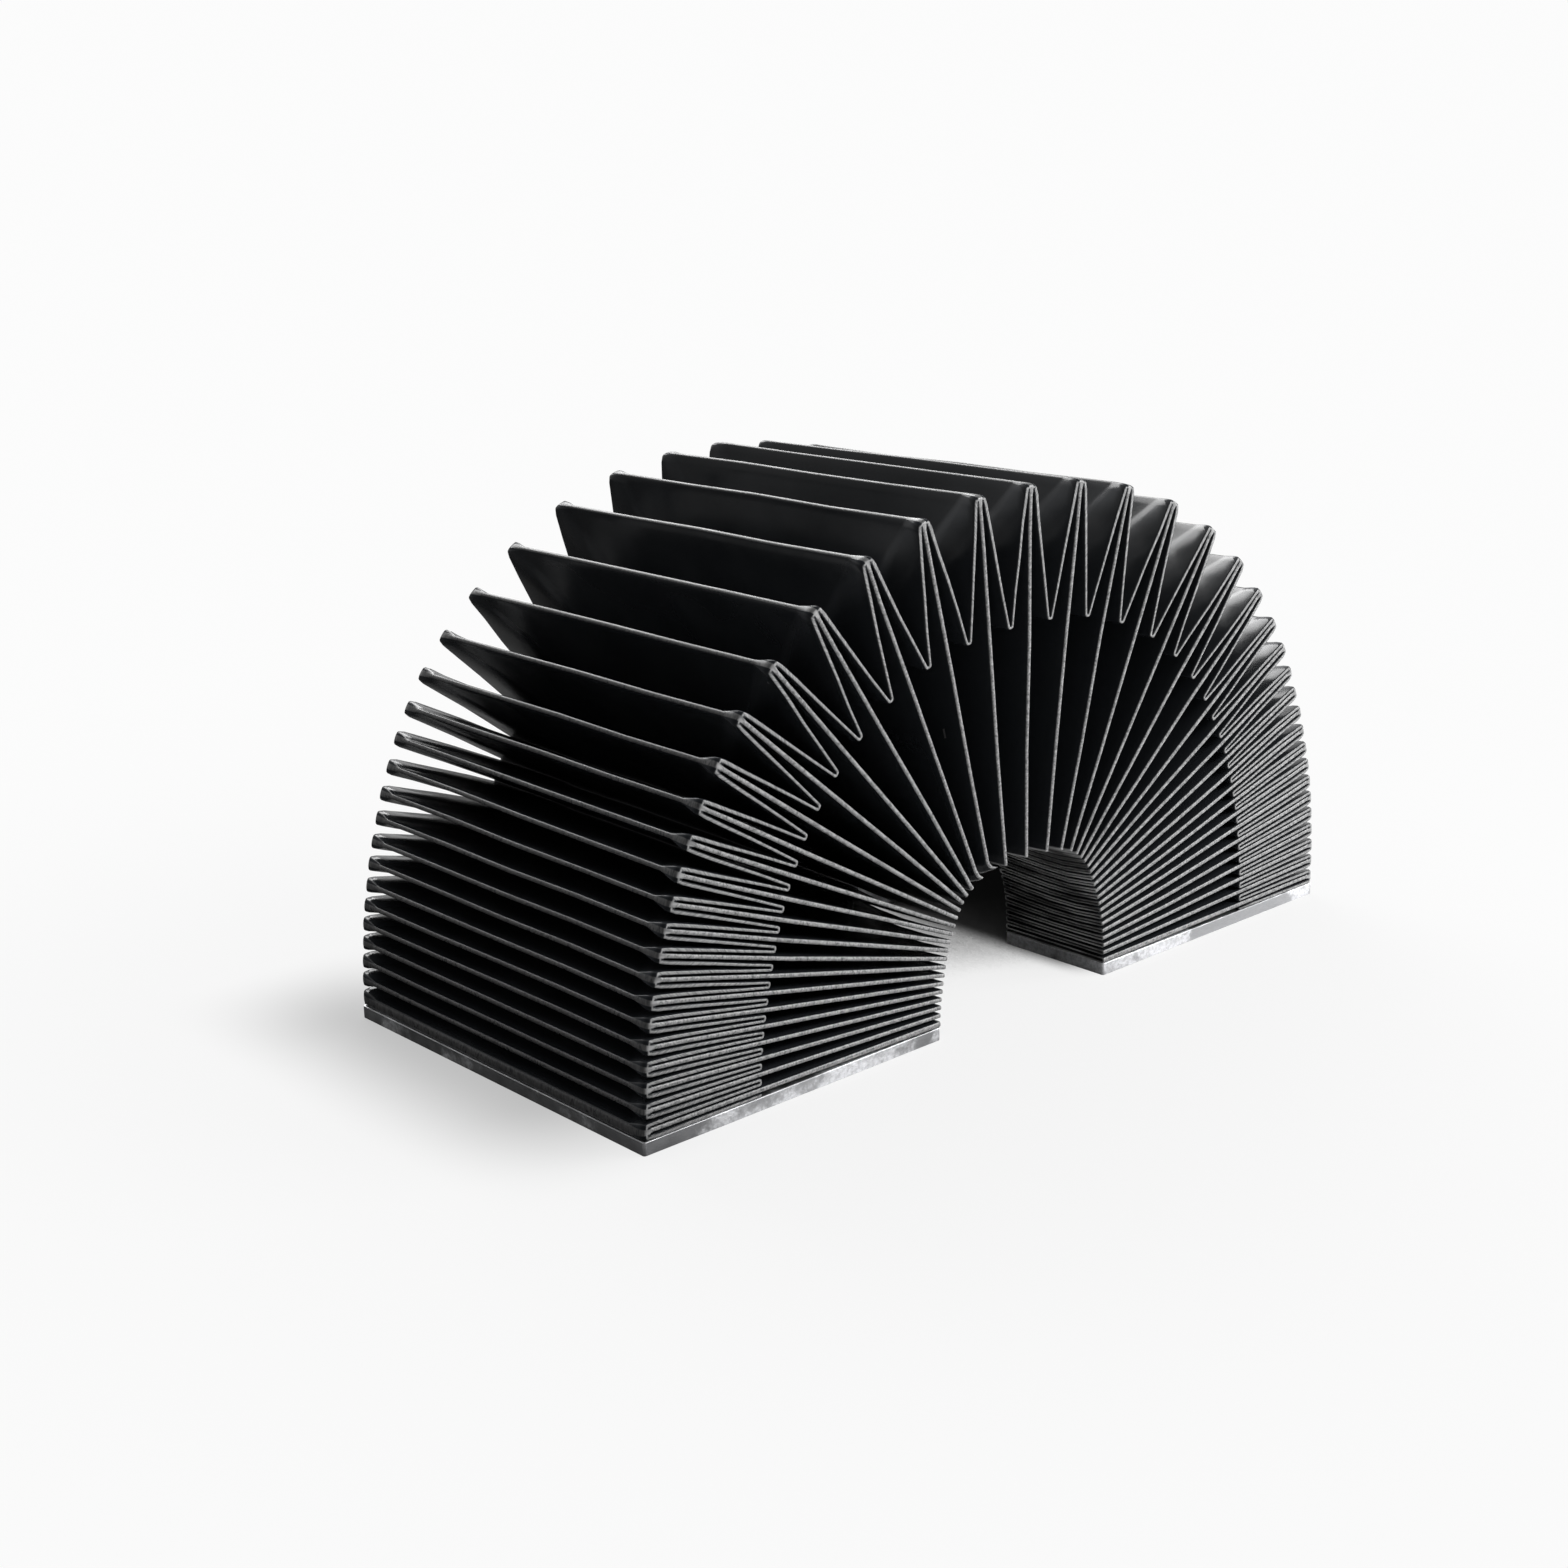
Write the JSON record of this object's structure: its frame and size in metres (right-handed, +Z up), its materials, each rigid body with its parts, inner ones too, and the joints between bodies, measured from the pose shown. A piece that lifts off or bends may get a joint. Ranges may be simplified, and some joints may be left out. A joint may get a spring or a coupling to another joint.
{
  "type": "bellows way cover",
  "caption": "Pleated bellows way cover of coated cloth with a U section, bent into an arch on its U-shaped end plates; shields a machine's slideway from chips and coolant.",
  "frame": {"origin": "on the surface that the end plates stand on, midway between them and across the cover", "axes": "+X from the left end plate to the right one, +Y across the cover from the near side to the far side, +Z up"},
  "size_m": [0.1864, 0.085, 0.1001],
  "materials": {
    "coated_cloth": "black cloth with a satin plastic coating, paler along worn fold edges",
    "plate_metal": "bare grey sheet with scuffed, shiny cut edges"
  },
  "bodies": {
    "root": {"bellows": "coated_cloth", "left_end_plate": "plate_metal", "right_end_plate": "plate_metal"}
  },
  "joints": []
}
